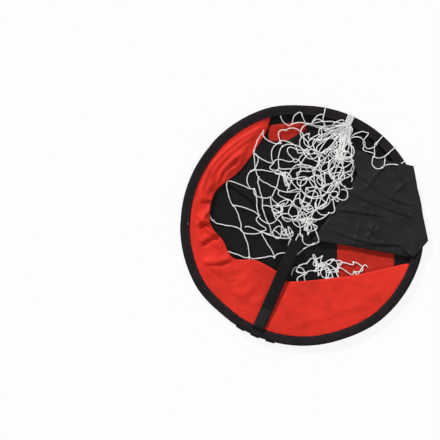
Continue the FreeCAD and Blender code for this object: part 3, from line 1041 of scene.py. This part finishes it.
def hinge_tab(side, place):
    """A short webbing strip up the outside of both bindings."""
    lower, upper = f"hinge_tab_{side}_lower", f"hinge_tab_{side}_upper"
    lo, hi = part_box(lower)[0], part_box(upper)[1]
    centre = (lo + hi) / 2 / MM
    build = Builder()
    turn = math.atan2(centre.x, -centre.y)
    c, s = math.cos(turn), math.sin(turn)
    rows, heights = [], []
    for k in range(TAB_STEPS + 1):
        t = k / TAB_STEPS
        z = TAB_LOW + t * TAB_TALL
        bulge = 0.35 * math.sin(t * math.pi) + 0.25 * noise.noise((t * 5, place, 1.0))
        ring = [(a * TAB_WIDTH / 2, -(TAB_RADIUS + bulge + depth)) for a, depth in TAB_OUTSIDE + TAB_INSIDE]
        rows.append([(x * c - y * s, x * s + y * c, z) for x, y in ring])
        heights.append(z * MM)
    m = len(rows[0])
    first = build.grid(rows, heights, [k * TAB_GIRTH / m * MM for k in range(m + 1)], close_v=True)
    build.close_ends(first, TAB_STEPS + 1, m)
    obj = build.made(f"hinge_tab_{side}_webbing", WEBBING)
    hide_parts(lower, upper)
    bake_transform(obj)


for place, side in enumerate(("left", "centre", "right")):
    hinge_tab(side, place * 3.0)

# ---------------------------------------------------------------- knotted twine netting
TWINE_RADIUS = 1.05
MESH_SIDE = 48.0
# Middle and half size of the pocket's heap, the head of the small lobe by the strap, and the ties' azimuths.
HEAP = (-28.0, 30.0)
HEAP_HALF = (66.0, 84.0)
LOBE = (35.0, -48.0)
TIES = (72, 64, 56)
FAN_END = 298
CURVE_POINTS = 24
rng = random.Random(41)
lashing_low, lashing_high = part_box("net_head_lashing")
HEAD = ((lashing_low.x + lashing_high.x) / 2 / MM, lashing_low.y / MM)


def under_net(x, y):
    """Top of what the netting lies on, in mm: the base cloth, the left gusset, the flap and the hoop."""
    x, y = np.atleast_1d(np.asarray(x, float)), np.atleast_1d(np.asarray(y, float))
    left = smooth((-26 - x) / 14) * smooth((y + 24) / 14)
    r = rim(x, y)
    low = 4.6 + 2.9 * left + 10.5 * smooth((r - 205) / 24)
    d, _, _ = to_line(x, y, FLAP, closed=True)
    d = np.where(inside(x, y, FLAP), d, -d)
    on_flap = smooth((d + 4.5) / 5)
    return low * (1 - on_flap) + on_flap * np.maximum(low, flap_level(x, y) + 0.9)


net = Builder()


def strand(points, wobble):
    """Twine through points; each one's third number is its height above what the netting lies on."""
    path = catmull(points, 3.0)
    shift = rng.random() * 100
    for i, q in enumerate(path):
        q[0] += wobble * noise.noise((i * 0.21, shift, 0.3))
        q[1] += wobble * noise.noise((i * 0.21, shift, 7.3))
        q[2] += 0.8 * wobble * noise.noise((i * 0.17, shift, 3.3))
    path[:, 2] += under_net(path[:, 0], path[:, 1])
    net.tube(path, TWINE_RADIUS)


def knot(x, y, lift):
    """A small sheet-bend knot: two tight turns of twine round each other."""
    z = float(under_net(x, y)[0]) + lift
    a = rng.random() * math.pi
    for turn, tilt in ((a, 0.5), (a + 1.9, -0.6)):
        loop = []
        for k in range(9):
            t = k * TAU / 9
            px, py = 1.6 * math.cos(t), 1.05 * math.sin(t)
            c, s = math.cos(turn), math.sin(turn)
            loop.append((x + px * c - py * s, y + px * s + py * c, z + tilt * px + 0.5 * math.sin(2 * t)))
        net.tube(loop, TWINE_RADIUS * 0.8, 5, True)


def mesh_side(p, q, slack=1.0):
    """One mesh side of fixed length between two knots: what the knots' distance leaves over bows or loops."""
    start, end = np.array(p[:2], float), np.array(q[:2], float)
    d = float(np.linalg.norm(end - start))
    along = (end - start) / (d + 1e-9)
    across = np.array((-along[1], along[0])) * rng.choice((-1, 1))
    length = max(d * 1.02, MESH_SIDE * slack)
    lean = rng.uniform(-0.35, 0.35)
    second = rng.uniform(0.6, 1.0) * (-1 if rng.random() < 0.28 else 1)
    t = np.linspace(0, 1, CURVE_POINTS)[:, None]
    low, high = 0.0, 4.0 * MESH_SIDE
    for _ in range(22):
        bow = (low + high) / 2
        a = start + across * bow + along * (d * 0.15 + lean * bow)
        b = end + across * second * bow - along * (d * 0.15 - lean * bow * 0.5)
        curve = (1 - t) ** 3 * start + 3 * (1 - t) ** 2 * t * a + 3 * (1 - t) * t * t * b + t ** 3 * end
        if float(np.linalg.norm(np.diff(curve, axis=0), axis=1).sum()) < length:
            low = bow
        else:
            high = bow
    rise = rng.uniform(-1.0, 2.5)
    points = []
    for i in range(0, CURVE_POINTS, 3):
        share = i / (CURVE_POINTS - 1)
        points.append((*curve[i], p[2] + (q[2] - p[2]) * share + rise * math.sin(math.pi * share)))
    strand(points + [tuple(end) + (q[2],)], wobble=1.6)


def crowded(x, y):
    """1 where the netting is bunched, in the heap and at its head, and 0 where it lies open."""
    heap = math.hypot((x - HEAP[0]) / HEAP_HALF[0], (y - HEAP[1]) / HEAP_HALF[1])
    head = math.hypot(x - HEAD[0], y - HEAD[1]) / 95
    return float(max(smooth(1.45 - heap), 0.55 * smooth(1.5 - head)))


def main_reach(direction):
    """How far the netting lies from its head: farthest over the open mouth, short at either side."""
    return 175 + 192 * float(smooth((direction - 210) / 26)) - 250 * float(smooth((direction - 264) / 32))


def lobe_reach(direction):
    return 62 + 62 * float(smooth((direction + 45) / 50))


def fan(head, first, last, columns, reach, pitch):
    """Knots in columns that fan out from a head, each other column half a mesh out of step."""
    knots = []
    for c in range(columns):
        share = c / (columns - 1)
        direction = first + (last - first) * share * (1.35 - 0.35 * share)
        a = math.radians(direction)
        far = reach(direction) - 0.5 * pitch * (c % 2)
        column = []
        while far > 0.55 * pitch:
            x, y = head[0] + far * math.cos(a), head[1] + far * math.sin(a)
            packed = crowded(x, y)
            spread = 3 + 6 * packed
            lift = 1.4 + rng.uniform(0.5, 4.5) * packed
            column.append((x + rng.gauss(0, spread), y + rng.gauss(0, spread), lift, far))
            far -= pitch * (1 - 0.42 * packed)
        knots.append(column)
    return knots


def lace(columns):
    """Joins every knot to the two knots of the next column that lie half a mesh nearer and farther."""
    tied = []
    for column, following in zip(columns[:-1], columns[1:]):
        for p in column:
            for q in sorted(following, key=lambda other: abs(other[3] - p[3]))[:2]:
                if math.dist(p[:2], q[:2]) < 1.3 * MESH_SIDE:
                    mesh_side(p, q)
                    tied += [p, q]
    for p in dict.fromkeys(tied):
        if tied.count(p) > 1 and crowded(p[0], p[1]) < 0.4:
            knot(p[0], p[1], p[2] + 0.3)


def gather(columns):
    """Two sides run from the last knot of each column into the lashing."""
    for column in columns:
        for _ in range(2):
            mesh_side(column[-1], (HEAD[0] + rng.uniform(-12, 12), HEAD[1] + rng.uniform(-4, 3), 2.5), 0.62)


def on_hoop(azimuth, radius):
    return (*polar(azimuth, radius), 1.3)


def rim_netting(azimuths, depth):
    """Slack sides hang inside the mouth hoop between points on it, with a knot below each pair of points."""
    spans = list(zip(azimuths[:-1], azimuths[1:]))
    hanging = [on_hoop((a + b) / 2, 232 - depth * rng.uniform(0.8, 1.2)) for a, b in spans]
    for (a, b), low in zip(spans, hanging):
        mesh_side(on_hoop(a, 233), low, 0.75)
        mesh_side(low, on_hoop(b, 233), 0.75)
        knot(*low)
    for p, q in zip(hanging[:-1], hanging[1:]):
        mesh_side(p, q, 0.85)


def heap_tangle(count):
    """Bunched knots of the pocket's folded end: each is joined by slack sides to the two beside it."""
    spots = []
    for _ in range(count):
        x, y = rng.gauss(HEAP[0] - 2, 0.40 * HEAP_HALF[0]), rng.gauss(HEAP[1] - 6, 0.46 * HEAP_HALF[1])
        spots.append((x, y, rng.uniform(3, 6.5)))
    for p in spots:
        near = sorted(spots, key=lambda other: math.dist(p[:2], other[:2]))[1:3]
        for q in near:
            mesh_side(p, q, rng.uniform(0.45, 0.95))


def loose_ends(count):
    """Short cut ends of twine stand out of the heap's right-hand side."""
    for _ in range(count):
        x, y, angle = rng.uniform(25, 58), rng.uniform(90, 145), rng.random() * TAU
        strand([(x, y, 3), (x + 7 * math.cos(angle), y + 7 * math.sin(angle), 2.4),
                (x + 14 * math.cos(angle + 0.3), y + 14 * math.sin(angle + 0.3), 1.4)], wobble=0.6)


def short_reach(direction):
    """The pocket's second layer is drawn up under the first, towards the heap."""
    return 0.82 * main_reach(direction)


for layer_reach, first, columns, pitch in ((main_reach, 208, 12, 54.0), (short_reach, 220, 8, 56.0)):
    layer = fan(HEAD, first, FAN_END, columns, layer_reach, pitch)
    lace(layer)
    gather(layer)
lace(fan(LOBE, -105, 10, 9, lobe_reach, 38.0))
rim_netting((90, 80) + TIES, 26)
rim_netting((92, 103, 114, 125), 20)
heap_tangle(24)
loose_ends(12)

netting = net.made("catch_netting", TWINE)
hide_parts("catch_net")
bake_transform(netting)
